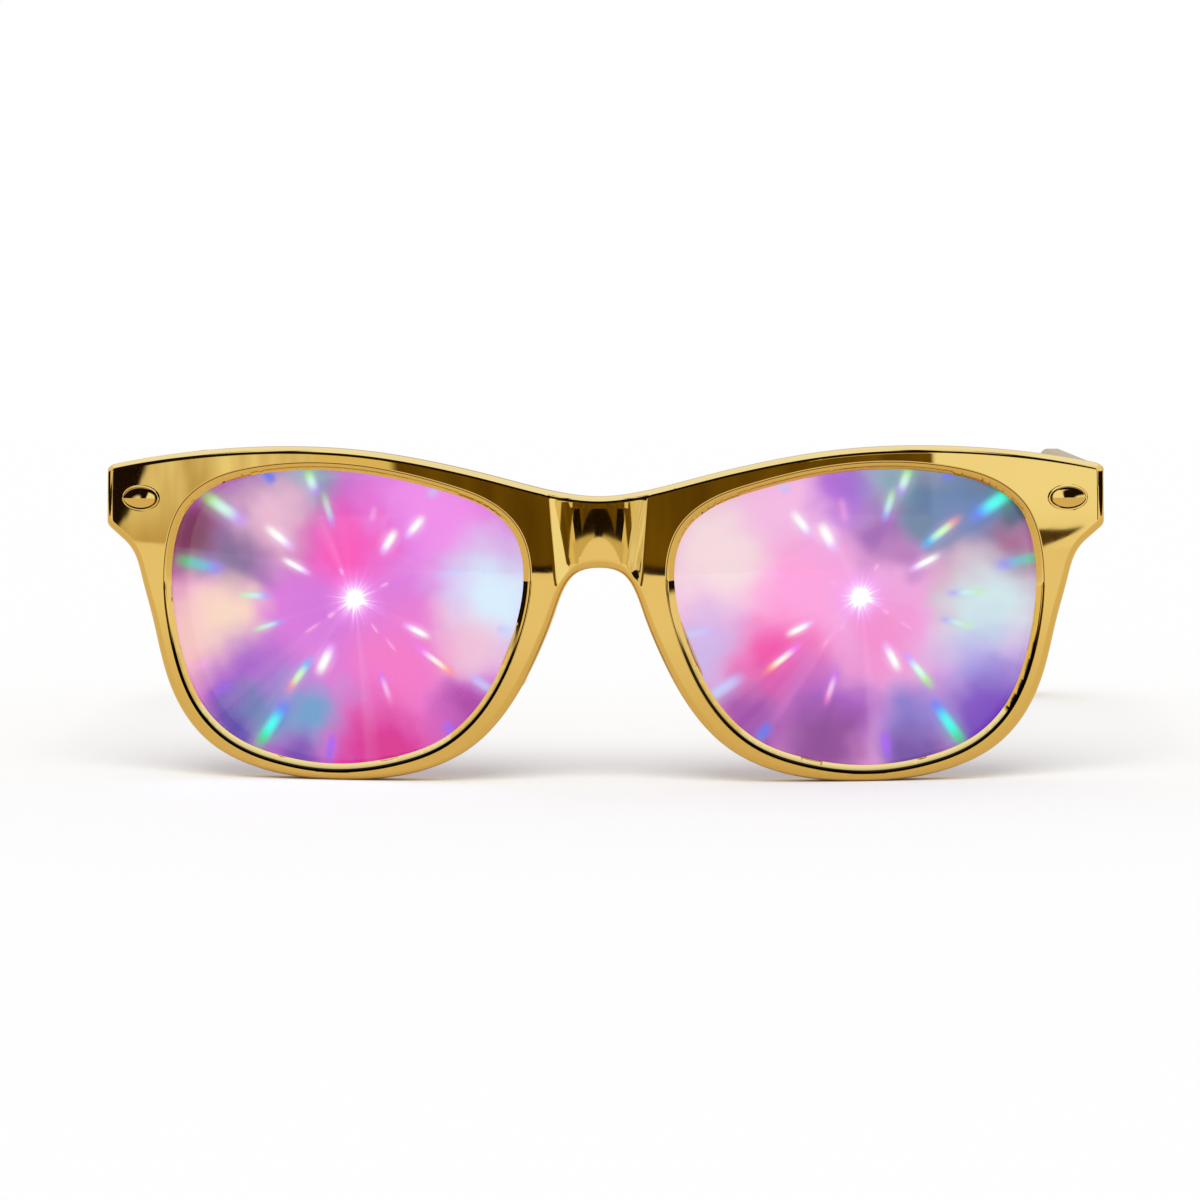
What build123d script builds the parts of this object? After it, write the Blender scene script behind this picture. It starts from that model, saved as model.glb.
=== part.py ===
from build123d import *

import os
from math import asin, cos, radians, sin, sqrt, tan

# Millimetres. +X is image right, +Y runs back along the arms, +Z is up.
# The origin is at the middle of the footprint, on the surface the glasses stand on.
# Pieces are drawn for the +X side, and the other side mirrors them.

# Overall sizes of the glasses, arms open
frame_width = 148.0
frame_height = 49.0
overall_depth = 150.0
wrap_radius = 250.0
front_thickness = 4.2

# Front: rounded edges, rim bevel and the scooped bridge
front_edge_radius = 1.1
back_edge_radius = 0.7
end_corner_radius = 1.3
bevel_width = 1.0
bevel_depth = 0.9
scoop_half_width = 7.6
scoop_foot_half_width = 6.6
scoop_depth = 1.2

# Lens, film and the groove that holds them
lens_inset = 1.3
lens_thickness = 1.6
lens_lip = 0.9
lens_clearance = 0.08
film_thickness = 0.2
film_glue = 0.02

# Nose pads, moulded on the back of the front
pad_length = 13.0
pad_width = 4.2
pad_depth = 4.4
pad_flare = 1.5
pad_tip_share = 0.7
pad_lean = 22.0
pad_edge_radius = 0.8

# End pieces, and the plane where the arms meet them
block_depth = 5.2
block_wall = 0.5
block_top_step = 0.3
block_foot_step = 0.6
butt_gap = 0.15

# Arms
arm_inset = 0.4
arm_root_thickness = 4.6
arm_thickness = 3.5
arm_root_height = 8.6
arm_waist_height = 6.4
arm_flat_length = 18.0
arm_taper_length = 46.0
arm_straight_length = 88.0
arm_edge_radius = 1.0
ear_angle = 50.0
ear_back_radius = 40.0
ear_front_radius = 28.0
ear_tip_radius = 4.4
ear_inward = 3.4
ear_inward_radius = 120.0

# Oval trim rivets
oval_inset = 5.5
oval_drop = 0.4
oval_half_width = 3.0
oval_half_height = 1.85
oval_gap = 0.12
oval_sink = 0.5
oval_rim_height = 0.1
oval_ridge_height = 0.75
oval_pin_radius = 0.55
oval_pin_length = 1.8
oval_pin_spacing = 2.8

# Hinges
hinge_offset = 1.9
hinge_set_back = 2.2
hinge_height = 6.0
barrel_radius = 1.35
barrel_gap = 0.1
leaf_thickness = 1.0
leaf_pocket_depth = 0.5
leaf_clearance = 0.1
front_leaf_width = 4.0
front_leaf_margin = 0.3
stud_radius = 0.6
stud_length = 1.6
temple_leaf_length = 9.0
temple_leaf_start = 2.6
screw_radius = 0.7
screw_head_radius = 1.15
screw_head_height = 0.5
screw_slot_width = 0.3
screw_slot_depth = 0.25
rivet_radius = 0.45
rivet_head_radius = 0.8
rivet_head_height = 0.3
rivet_length = 2.4
rivet_spacing = 4.4
turning_clearance = 0.05
pressed_clearance = 0.01

# One overrun serves every cut that passes through a face, and one tolerance finds edges
overrun = 2.0
touch = 0.01

# Half outlines of the front, seen from the front, as shares of half the width and of the height.
# The brow runs from the middle of the bridge to the end piece.
brow_shares = [
    (0.000, 0.852), (0.092, 0.869), (0.208, 0.913), (0.326, 0.954),
    (0.450, 0.985), (0.620, 1.000), (0.758, 0.992), (0.880, 0.972),
    (0.998, 0.940),
]
# The rim runs from under the end piece round the lens to the top of the nose arch.
end_foot_shares = (1.000, 0.761)
rim_shares = [
    (0.970, 0.722), (0.943, 0.675), (0.927, 0.600), (0.906, 0.482),
    (0.876, 0.302), (0.842, 0.194), (0.788, 0.104), (0.712, 0.043),
    (0.610, 0.007), (0.510, 0.000), (0.420, 0.009), (0.339, 0.037),
    (0.248, 0.109), (0.166, 0.252), (0.117, 0.394), (0.089, 0.499),
    (0.071, 0.572), (0.046, 0.622), (0.000, 0.639),
]
# Lens opening, anticlockwise from the top
opening_shares = [
    (0.560, 0.930), (0.418, 0.908), (0.300, 0.864), (0.218, 0.814),
    (0.171, 0.748), (0.151, 0.665), (0.150, 0.575), (0.164, 0.470),
    (0.195, 0.343), (0.243, 0.222), (0.313, 0.126), (0.405, 0.072),
    (0.524, 0.048), (0.645, 0.071), (0.737, 0.126), (0.800, 0.216),
    (0.839, 0.345), (0.858, 0.480), (0.864, 0.600), (0.856, 0.710),
    (0.831, 0.805), (0.777, 0.874), (0.687, 0.915),
]
pad_centre_shares = (0.150, 0.400)

half_width = frame_width / 2
front_y = -overall_depth / 2
axis_y = front_y + wrap_radius
end_depth = wrap_radius - sqrt(wrap_radius ** 2 - half_width ** 2)
butt_y = front_y + end_depth + block_depth
end_top = frame_height * brow_shares[-1][1]
end_foot = frame_height * end_foot_shares[1]
block_low = end_foot + block_foot_step
block_high = end_top - block_top_step
arm_top = end_top
arm_outer_x = half_width - arm_inset
arm_inner_x = arm_outer_x - arm_root_thickness
oval_centre_x = half_width - oval_inset
oval_centre_height = (end_top + end_foot) / 2 - oval_drop
hinge_x = arm_inner_x - hinge_offset
hinge_y = butt_y + hinge_set_back
hinge_centre_height = (block_low + block_high) / 2
hinge_low = hinge_centre_height - hinge_height / 2
hinge_high = hinge_centre_height + hinge_height / 2
barrel_height = (hinge_height - 2 * barrel_gap) / 3
front_leaf_outer_x = arm_inner_x - front_leaf_margin
front_leaf_inner_x = front_leaf_outer_x - front_leaf_width
pad_centre_x = half_width * pad_centre_shares[0]
pad_centre_height = frame_height * pad_centre_shares[1]


def at_shares(shares, side=1.0):
    """Points on the front view, on the +X side or mirrored."""
    return [(side * half_width * x, front_y, frame_height * z) for x, z in shares]


def wrap_depth(x, inset=0.0):
    """How far back a wall that lies inset behind the front's face is at x."""
    return axis_y - sqrt((wrap_radius - inset) ** 2 - x ** 2)


def wrap_wall(front_inset, back_inset):
    """A curved wall, as wide as the frame and more, between two depths behind the face."""
    reach = half_width + overrun
    near = [(-reach, wrap_depth(reach, front_inset)), (0, wrap_depth(0, front_inset))]
    near.append((reach, near[0][1]))
    far = [(reach, wrap_depth(reach, back_inset)), (0, wrap_depth(0, back_inset))]
    far.append((-reach, far[0][1]))
    edges = [
        ThreePointArc(*near),
        Line(near[2], far[0]),
        ThreePointArc(*far),
        Line(far[2], near[0]),
    ]
    return Pos(0, 0, -overrun) * extrude(closed_face(edges), frame_height + 2 * overrun)


def closed_face(curves):
    """The flat face inside a closed chain of curves."""
    return make_face(Wire([edge for curve in curves for edge in curve.edges()]))


def along_y(face):
    """A front-view face pushed from in front of the bridge to behind the end pieces."""
    return Pos(0, -overrun, 0) * extrude(face, 2 * overrun + end_depth + block_depth, dir=(0, 1, 0))


def outline_face():
    """The whole outline of the front."""
    brow = at_shares(brow_shares)
    brow_left = at_shares(brow_shares, -1.0)[:0:-1]
    top = Spline(*(brow_left + brow))
    right = at_shares(rim_shares)
    left = at_shares(rim_shares, -1.0)[-2::-1]
    foot = (half_width, front_y, end_foot)
    foot_left = (-half_width, front_y, end_foot)
    rims = Spline(*(right + left))
    edges = [
        top,
        Line(brow[-1], foot),
        Line(foot, right[0]),
        rims,
        Line(left[-1], foot_left),
        Line(foot_left, brow_left[0]),
    ]
    return closed_face(edges)


def opening_face(grow=0.0):
    """The lens opening in front view, grown all round."""
    rim = Spline(*at_shares(opening_shares), periodic=True)
    if grow:
        count = 2 * len(opening_shares)
        outwards = [(rim % (i / count)).cross(Vector(0, -1, 0)) for i in range(count)]
        rim = Spline(*[rim @ (i / count) + outwards[i] * grow for i in range(count)], periodic=True)
    return closed_face([rim])


def box_between(low, high):
    """A box from its lowest to its highest corner."""
    size = [b - a for a, b in zip(low, high)]
    middle = [(a + b) / 2 for a, b in zip(low, high)]
    return Pos(*middle) * Box(*size)


def on_wall(edge, inset):
    """True where an edge lies on the curved wall that is inset behind the front's face."""
    places = [edge @ 0, edge @ 0.5, edge @ 1]
    radius = wrap_radius - inset
    return all(abs(sqrt(p.X ** 2 + (p.Y - axis_y) ** 2) - radius) < touch for p in places)


def end_block():
    """The block behind the end piece that the arm closes against."""
    low = (front_leaf_inner_x - leaf_clearance - block_wall, front_y, block_low)
    high = (half_width, butt_y, block_high)
    return box_between(low, high) - wrap_wall(-end_depth - block_depth, front_thickness / 2)


def nose_pad():
    """A leaning oval boss that flares outwards and narrows towards the face."""
    root = wrap_depth(pad_centre_x, front_thickness / 2)
    tip = wrap_depth(pad_centre_x, front_thickness) + pad_depth
    sections = []
    for share in (0.0, 0.5, 1.0):
        size = 1 - (1 - pad_tip_share) * share ** 2
        centre = (pad_centre_x + pad_flare * share, root + (tip - root) * share, pad_centre_height)
        plane = Plane(origin=centre, x_dir=(1, 0, 0), z_dir=(0, -1, 0))
        oval = Rot(0, 0, 90 + pad_lean) * SlotOverall(pad_length * size, pad_width * size)
        sections.append(plane * oval)
    pad = loft(sections)
    return fillet(pad.faces().sort_by(Axis.Y)[-1].edges(), pad_edge_radius)


def bridge_scoop():
    """A hollow across the front of the bridge, round in plan and narrower at its foot."""
    foot = frame_height * rim_shares[-1][1]
    top = frame_height * brow_shares[0][1]
    slope = (scoop_half_width - scoop_foot_half_width) / (top - foot)
    sections = []
    for height in (foot - overrun, top + overrun):
        width = scoop_foot_half_width + slope * (height - foot)
        radius = (width ** 2 + scoop_depth ** 2) / (2 * scoop_depth)
        centre = (0, front_y + scoop_depth - radius, height)
        sections.append(Plane(origin=centre) * Circle(radius))
    return loft(sections, ruled=True)


def oval_plane(sink=0.0):
    """The plane of the oval rivet's seat: square to the curved face, sunk behind it."""
    turn = asin(oval_centre_x / wrap_radius)
    radius = wrap_radius - sink
    origin = (radius * sin(turn), axis_y - radius * cos(turn), oval_centre_height)
    return Plane(origin=origin, x_dir=(cos(turn), sin(turn), 0), z_dir=(sin(turn), -cos(turn), 0))


def oval_pins(radius):
    """The two pins behind an oval rivet, or the holes for them."""
    plane = oval_plane(oval_sink)
    return [
        plane * Pos(side * oval_pin_spacing / 2, 0, -oval_pin_length / 2)
        * Cylinder(radius, oval_pin_length)
        for side in (-1, 1)
    ]


def oval_seat():
    """The recess and pin holes that the oval rivet sits in."""
    oval = Ellipse(oval_half_width + oval_gap, oval_half_height + oval_gap)
    seat = oval_plane(oval_sink) * extrude(oval, oval_sink + overrun)
    for hole in oval_pins(oval_pin_radius + pressed_clearance):
        seat += hole
    return seat


def oval_rivet():
    """An oval plate with two sloping halves that meet in a level ridge, and two pins."""
    oval = Ellipse(oval_half_width, oval_half_height)
    blank = extrude(oval, oval_sink + oval_ridge_height)
    rim = oval_sink + oval_rim_height
    ridge = oval_sink + oval_ridge_height
    roof = Polyline(
        (oval_half_height, 0),
        (oval_half_height, rim),
        (0, ridge),
        (-oval_half_height, rim),
        (-oval_half_height, 0),
        close=True,
    )
    prism = extrude(Plane.YZ * make_face(roof), oval_half_width, both=True)
    rivet = oval_plane(oval_sink) * (blank & prism)
    for pin in oval_pins(oval_pin_radius):
        rivet += pin
    return rivet


def front_leaf_box(margin=0.0):
    """The plate of the front hinge leaf, or the pocket for it with a margin all round."""
    low = (front_leaf_inner_x - margin, butt_y - leaf_pocket_depth, hinge_low - margin)
    back = overrun if margin else leaf_thickness - leaf_pocket_depth
    return box_between(low, (front_leaf_outer_x + margin, butt_y + back, hinge_high + margin))


def front_leaf_stud(radius):
    """The stud of the front leaf that is pressed into the end block, or its hole."""
    centre_x = (front_leaf_inner_x + front_leaf_outer_x) / 2
    centre_y = butt_y - leaf_pocket_depth - stud_length / 2
    return Pos(centre_x, centre_y, hinge_centre_height) * Rot(90, 0, 0) * Cylinder(radius, stud_length)


def barrel(low, high):
    """One hinge barrel, bored for the screw."""
    place = Pos(hinge_x, hinge_y, (low + high) / 2)
    return place * Cylinder(barrel_radius, high - low)


def screw_bore():
    """The bore through all three barrels."""
    length = hinge_height + 2 * overrun
    return Pos(hinge_x, hinge_y, hinge_centre_height) * Cylinder(screw_radius + turning_clearance, length)


def front_hinge_leaf():
    """A plate with an upper and a lower barrel, and a stud that holds it in the end block."""
    leaf = front_leaf_box()
    for low in (hinge_low, hinge_high - barrel_height):
        high = low + barrel_height
        leaf += barrel(low, high)
        leaf += box_between((hinge_x - barrel_radius, butt_y, low), (hinge_x + barrel_radius, hinge_y, high))
    leaf += front_leaf_stud(stud_radius)
    return leaf - screw_bore()


def temple_leaf_box(margin=0.0):
    """The plate of the temple hinge leaf, or the pocket for it with a margin all round."""
    start = hinge_y + temple_leaf_start
    floor = arm_inner_x + leaf_pocket_depth
    inner = floor - (leaf_pocket_depth + overrun if margin else leaf_thickness)
    low = (inner, start - margin, hinge_low - margin)
    return box_between(low, (floor, start + temple_leaf_length + margin, hinge_high + margin))


def temple_hinge_leaf():
    """A plate with one middle barrel on a short arm, drilled for two rivets."""
    low = hinge_centre_height - barrel_height / 2
    high = low + barrel_height
    leaf = temple_leaf_box() + barrel(low, high)
    neck_start = (hinge_x + barrel_radius / 3, hinge_y, low)
    neck_end = (arm_inner_x - leaf_clearance, hinge_y + temple_leaf_start + leaf_thickness, high)
    leaf += box_between(neck_start, neck_end)
    leaf -= screw_bore()
    for hole in temple_rivet_shanks(rivet_radius + pressed_clearance):
        leaf -= hole
    return leaf


def temple_rivet_places():
    """Where the two rivets of the temple leaf stand, on the plate's inner face."""
    middle = hinge_y + temple_leaf_start + temple_leaf_length / 2
    face = arm_inner_x + leaf_pocket_depth - leaf_thickness
    return [(face, middle + side * rivet_spacing / 2, hinge_centre_height) for side in (-1, 1)]


def temple_rivet_shanks(radius):
    """The shanks of the two rivets, or the holes for them."""
    return [
        Pos(*place) * Pos(rivet_length / 2, 0, 0) * Rot(0, 90, 0) * Cylinder(radius, rivet_length)
        for place in temple_rivet_places()
    ]


def temple_hinge_rivets():
    """Two round-headed rivets that hold the temple leaf in its pocket."""
    rivets = []
    for place, shank in zip(temple_rivet_places(), temple_rivet_shanks(rivet_radius)):
        middle = Pos(*place) * Pos(-rivet_head_height / 2, 0, 0) * Rot(0, -90, 0)
        head = Cylinder(rivet_head_radius, rivet_head_height)
        head = fillet(head.edges().sort_by(Axis.Z)[-1], rivet_head_height / 2)
        rivets.append(shank + middle * head)
    return Compound(children=rivets)


def hinge_screw():
    """A slotted screw down through the three barrels."""
    shank = Pos(hinge_x, hinge_y, hinge_centre_height) * Cylinder(screw_radius, hinge_height)
    head_place = Pos(hinge_x, hinge_y, hinge_high + screw_head_height / 2)
    head = Cylinder(screw_head_radius, screw_head_height)
    head = fillet(head.edges().sort_by(Axis.Z)[-1], screw_head_height / 3)
    slot_height = screw_head_height / 2 - screw_slot_depth / 2
    head -= Pos(0, 0, slot_height) * Box(2 * screw_head_radius, screw_slot_width, screw_slot_depth)
    return shank + head_place * head


def front_blank():
    """The +X half of the front: the outline cut from a curved wall, with its edges rounded."""
    blank = along_y(outline_face()) & wrap_wall(0, front_thickness)
    corners = [e for e in blank.edges() if not on_wall(e, 0) and not on_wall(e, front_thickness)]
    blank = fillet(corners, end_corner_radius)
    blank = fillet([e for e in blank.edges() if on_wall(e, front_thickness)], back_edge_radius)
    blank = fillet([e for e in blank.edges() if on_wall(e, 0)], front_edge_radius)
    low = (0, front_y - overrun, -overrun)
    return blank & box_between(low, (half_width + overrun, butt_y, frame_height + overrun))


def front_frame():
    """The moulded front: rims, bridge, end pieces, pads, lens grooves, seats and pockets."""
    opening = along_y(opening_face())
    groove_front = lens_inset - lens_clearance
    groove_back = lens_inset + lens_thickness + film_glue + film_thickness + lens_clearance
    groove = along_y(opening_face(lens_lip)) & wrap_wall(groove_front, groove_back)
    half = front_blank() - opening
    rim_edge = [e for e in half.edges() if e.is_closed and on_wall(e, 0)][0]
    half = chamfer(rim_edge, bevel_width, bevel_depth, reference=front_face_beside(half, rim_edge))
    half = half - groove - bridge_scoop()
    half += end_block() - groove
    half += nose_pad() - (opening & wrap_wall(0, front_thickness)) - groove
    half -= oval_seat()
    half -= front_leaf_box(leaf_clearance)
    half -= front_leaf_stud(stud_radius + pressed_clearance)
    return half + mirror(half, about=Plane.YZ)


def front_face_beside(body, edge):
    """The front's curved face that an edge of a lens opening bounds."""
    faces = [f for f in body.faces() if any(e.is_same(edge) for e in f.edges())]
    return max(faces, key=lambda face: -abs(face.normal_at(edge @ 0.5).Z))


def lens(front_inset, thickness):
    """A curved sheet that fills the groove of one rim."""
    outline = opening_face(lens_lip - lens_clearance)
    return along_y(outline) & wrap_wall(front_inset, front_inset + thickness)


def temple():
    """A moulded arm: a side profile and a plan profile that cut each other, with rounded edges."""
    start_y = butt_y + butt_gap
    root_low = arm_top - arm_root_height
    waist_low = arm_top - arm_waist_height
    angle = radians(ear_angle)
    tip = (overall_depth / 2 - ear_tip_radius, ear_tip_radius)
    tip_back = (tip[0] + ear_tip_radius * sin(angle), tip[1] + ear_tip_radius * cos(angle))
    tip_end = (tip[0] + ear_tip_radius * cos(angle), tip[1] - ear_tip_radius * sin(angle))
    tip_front = (2 * tip[0] - tip_back[0], 2 * tip[1] - tip_back[1])
    back_corner = (tip_back[0] - (arm_top - tip_back[1]) / tan(angle), arm_top)
    front_corner = (tip_front[0] - (waist_low - tip_front[1]) / tan(angle), waist_low)
    side_view = [
        FilletPolyline((start_y, arm_top), back_corner, tip_back, radius=ear_back_radius),
        ThreePointArc(tip_back, tip_end, tip_front),
        FilletPolyline(tip_front, front_corner, (start_y, root_low), radius=ear_front_radius),
        Line((start_y, root_low), (start_y, arm_top)),
    ]
    profile = extrude(Plane.YZ * closed_face(side_view), half_width)
    inner_x = arm_outer_x - arm_thickness
    flat_end = start_y + arm_flat_length
    taper_end = start_y + arm_taper_length
    bend_y = start_y + arm_straight_length
    end_y = overall_depth / 2 + overrun
    outer = FilletPolyline(
        (arm_outer_x, start_y),
        (arm_outer_x, bend_y),
        (arm_outer_x - ear_inward, end_y),
        radius=ear_inward_radius,
    )
    inner = FilletPolyline(
        (inner_x - ear_inward, end_y),
        (inner_x, bend_y),
        (inner_x, taper_end),
        (arm_inner_x, flat_end),
        (arm_inner_x, start_y),
        radius=ear_inward_radius,
    )
    ends = [Line(outer @ 1, inner @ 0), Line(inner @ 1, outer @ 0)]
    plan = extrude(closed_face([outer, inner, *ends]), frame_height)
    arm = profile & plan
    edges = arm.edges()
    straight = edges.filter_by(Axis.X) + edges.filter_by(Axis.Z)
    arm = fillet([e for e in edges if e not in straight], arm_edge_radius)
    arm -= temple_leaf_box(leaf_clearance)
    for hole in temple_rivet_shanks(rivet_radius + pressed_clearance):
        arm -= hole
    return arm


def both_sides(name, shape):
    """The +X piece and its mirror image, by node name."""
    return {f"right_{name}": shape, f"left_{name}": mirror(shape, about=Plane.YZ)}


film_inset = lens_inset + lens_thickness + film_glue
nodes = {"front_frame": front_frame()}
nodes |= both_sides("lens", lens(lens_inset, lens_thickness))
nodes |= both_sides("diffraction_film", lens(film_inset, film_thickness))
nodes |= both_sides("oval_rivet", oval_rivet())
nodes |= both_sides("front_hinge_leaf", front_hinge_leaf())
nodes |= both_sides("temple_hinge_leaf", temple_hinge_leaf())
nodes |= both_sides("temple_hinge_rivets", temple_hinge_rivets())
nodes |= both_sides("hinge_screw", hinge_screw())
nodes |= both_sides("temple", temple())

os.makedirs("parts", exist_ok=True)
for name, shape in nodes.items():
    export_step(shape, f"parts/{name}.step")
    print(name, len(shape.solids()), round(shape.volume, 1), shape.is_valid)
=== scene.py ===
from math import asin, atan2, cos, hypot, pi, radians, sin, sqrt, tan

import bmesh
import bpy
import numpy as np
from mathutils import Matrix, Vector


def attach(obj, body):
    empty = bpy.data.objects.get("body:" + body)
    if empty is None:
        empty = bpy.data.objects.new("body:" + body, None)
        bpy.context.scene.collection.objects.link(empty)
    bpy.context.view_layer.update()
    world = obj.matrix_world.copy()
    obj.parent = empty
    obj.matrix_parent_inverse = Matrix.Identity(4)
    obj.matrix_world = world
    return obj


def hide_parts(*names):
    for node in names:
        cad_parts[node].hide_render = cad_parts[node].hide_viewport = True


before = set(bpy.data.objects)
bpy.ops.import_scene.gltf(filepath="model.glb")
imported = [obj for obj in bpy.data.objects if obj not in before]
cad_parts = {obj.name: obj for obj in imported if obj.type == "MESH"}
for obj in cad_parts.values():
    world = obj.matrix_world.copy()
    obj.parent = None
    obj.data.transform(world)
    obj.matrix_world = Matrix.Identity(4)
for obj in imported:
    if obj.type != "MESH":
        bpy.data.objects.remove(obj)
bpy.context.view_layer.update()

# Front
# One moulding with a vacuum-metallised gold skin: two rims, a scooped bridge, two end pieces,
# the blocks behind them that the arms close against, and two nose pads on the back.
# Sizes are millimetres, and a mesh is brought to metres when it is finished.
HALF_WIDTH = 74.0
HEIGHT = 49.0
FRONT_Y = -75.0
WRAP_RADIUS = 250.0
FRONT_THICKNESS = 4.2
AXIS_Y = FRONT_Y + WRAP_RADIUS
BROW_SHARES = [
    (0.000, 0.852), (0.092, 0.869), (0.208, 0.913), (0.326, 0.954),
    (0.450, 0.985), (0.620, 1.000), (0.758, 0.992), (0.880, 0.972),
    (0.998, 0.940),
]
END_FOOT_SHARES = (1.000, 0.761)
RIM_SHARES = [
    (0.970, 0.722), (0.943, 0.675), (0.927, 0.600), (0.906, 0.482),
    (0.876, 0.302), (0.842, 0.194), (0.788, 0.104), (0.712, 0.043),
    (0.610, 0.007), (0.510, 0.000), (0.420, 0.009), (0.339, 0.037),
    (0.248, 0.109), (0.166, 0.252), (0.117, 0.394), (0.089, 0.499),
    (0.071, 0.572), (0.046, 0.622), (0.000, 0.639),
]
OPENING_SHARES = [
    (0.560, 0.930), (0.418, 0.908), (0.300, 0.864), (0.218, 0.814),
    (0.171, 0.748), (0.151, 0.665), (0.150, 0.575), (0.164, 0.470),
    (0.195, 0.343), (0.243, 0.222), (0.313, 0.126), (0.405, 0.072),
    (0.524, 0.048), (0.645, 0.071), (0.737, 0.126), (0.800, 0.216),
    (0.839, 0.345), (0.858, 0.480), (0.864, 0.600), (0.856, 0.710),
    (0.831, 0.805), (0.777, 0.874), (0.687, 0.915),
]


def at_shares(shares):
    """Front-view points in millimetres from shares of half the width and of the height."""
    return [(HALF_WIDTH * x, HEIGHT * z) for x, z in shares]


def smooth_curve(points, count, closed=False):
    """A curve through points with an even bend, as count points along it."""
    p = np.array(points + points[:1] if closed else points, float)
    t = np.concatenate(([0.0], np.cumsum(np.hypot(*np.diff(p, axis=0).T))))
    n = len(p)
    gap = np.diff(t)
    rise = np.diff(p, axis=0) / gap[:, None]
    rows = np.zeros((n, n))
    right = np.zeros((n, 2))
    for i in range(1, n - 1):
        rows[i, i - 1:i + 2] = gap[i - 1], 2 * (gap[i - 1] + gap[i]), gap[i]
        right[i] = 6 * (rise[i] - rise[i - 1])
    if closed:
        rows[0, 0], rows[0, -1] = 1, -1
        rows[-1, 0], rows[-1, 1] = 2 * gap[0], gap[0]
        rows[-1, -2], rows[-1, -1] = gap[-1], 2 * gap[-1]
        right[-1] = 6 * (rise[0] - rise[-1])
    else:
        rows[0, :2] = 1, -1
        rows[-1, -2:] = 1, -1
    bend = np.linalg.solve(rows, right)
    out = []
    for s in np.linspace(0, t[-1], count, endpoint=not closed):
        i = min(max(int(np.searchsorted(t, s, side="right")) - 1, 0), n - 2)
        a, b, h = t[i + 1] - s, s - t[i], gap[i]
        out.append((bend[i] * a ** 3 + bend[i + 1] * b ** 3) / (6 * h)
                   + (p[i] / h - bend[i] * h / 6) * a + (p[i + 1] / h - bend[i + 1] * h / 6) * b)
    return np.array(out)


def rounded_corner(before, corner, after, radius, count):
    """The arc that rounds a corner, from its first tangent point to its last."""
    before, corner, after = (Vector(p) for p in (before, corner, after))
    a, b = (before - corner).normalized(), (after - corner).normalized()
    half = a.angle(b) / 2
    centre = corner + (a + b).normalized() * radius / sin(half)
    first, last = corner + a * radius / tan(half), corner + b * radius / tan(half)
    u, v = first - centre, last - centre
    sweep = u.angle(v)
    return [tuple(centre + (u * sin(sweep * (1 - s)) + v * sin(sweep * s)) / sin(sweep))
            for s in np.linspace(0, 1, count)]


def wrap_depth(x, inset=0.0):
    """How far back the front's curved wall lies at x, inset behind its face."""
    return AXIS_Y - sqrt((WRAP_RADIUS - inset) ** 2 - x ** 2)


def even_gaps(points, count):
    """A line of points as count points with even gaps."""
    p = np.array(points)
    t = np.concatenate(([0.0], np.cumsum(np.hypot(*np.diff(p, axis=0).T))))
    s = np.linspace(0, t[-1], count)
    return [tuple(q) for q in np.stack([np.interp(s, t, p[:, 0]), np.interp(s, t, p[:, 1])], axis=1)]


OVERLAP = 3.0
END_RADIUS = 1.3
CURVE_STEPS = 2400
OPENING_STEPS = 420
BROW_STEPS = 150
RIM_STEPS = 260
brow_points = at_shares(BROW_SHARES)
rim_points = at_shares(RIM_SHARES)
end_foot = (END_FOOT_SHARES[0] * HALF_WIDTH, END_FOOT_SHARES[1] * HEIGHT)
brow = smooth_curve([(-x, z) for x, z in brow_points[:0:-1]] + brow_points, CURVE_STEPS)
rims = smooth_curve(rim_points + [(-x, z) for x, z in rim_points[-2::-1]], CURVE_STEPS)
top_corner = tuple(brow[-1])
arcs = [
    rounded_corner(brow[-20], top_corner, end_foot, END_RADIUS, 11),
    rounded_corner(top_corner, end_foot, rims[0], END_RADIUS, 7),
    rounded_corner(end_foot, rims[0], rims[20], END_RADIUS, 5),
]
brow_half = [tuple(p) for p in brow if -OVERLAP <= p[0] < arcs[0][0][0]]
rim_start = next(i for i, p in enumerate(rims) if p[1] < arcs[2][-1][1])
rim_half = [tuple(p) for p in rims[rim_start:] if p[0] > -OVERLAP]
outline = even_gaps(brow_half, BROW_STEPS)[:-1] + arcs[0]
outline += even_gaps([arcs[0][-1], arcs[1][0]], 12)[1:-1] + arcs[1]
outline += even_gaps([arcs[1][-1], arcs[2][0]], 5)[1:-1] + arcs[2]
outline += even_gaps(rim_half, RIM_STEPS)[1:]
outline += even_gaps([rim_half[-1], brow_half[0]], 16)[1:-1]
opening = [tuple(p) for p in smooth_curve(at_shares(OPENING_SHARES), OPENING_STEPS, closed=True)]
SHARP = radians(14.5)


def add(name, data):
    """A new object in the scene."""
    made = bpy.data.objects.new(name, data)
    bpy.context.scene.collection.objects.link(made)
    return made


def mesh_of(bm, name):
    """A bmesh turned into a mesh."""
    mesh = bpy.data.meshes.new(name)
    bm.to_mesh(mesh)
    bm.free()
    return mesh


def finish_mesh(bm, name, sharp=SHARP):
    """Turns a bmesh in millimetres into an object in metres, smooth but for its creases."""
    bmesh.ops.scale(bm, vec=(0.001, 0.001, 0.001), verts=bm.verts)
    mesh = mesh_of(bm, name)
    for polygon in mesh.polygons:
        polygon.use_smooth = True
    mesh.set_sharp_from_angle(angle=sharp)
    return add(name, mesh)


def keep_result(piece):
    """Makes what a piece's modifiers give its own mesh."""
    done = bpy.data.meshes.new_from_object(piece.evaluated_get(bpy.context.evaluated_depsgraph_get()))
    piece.modifiers.clear()
    piece.data = done


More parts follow.
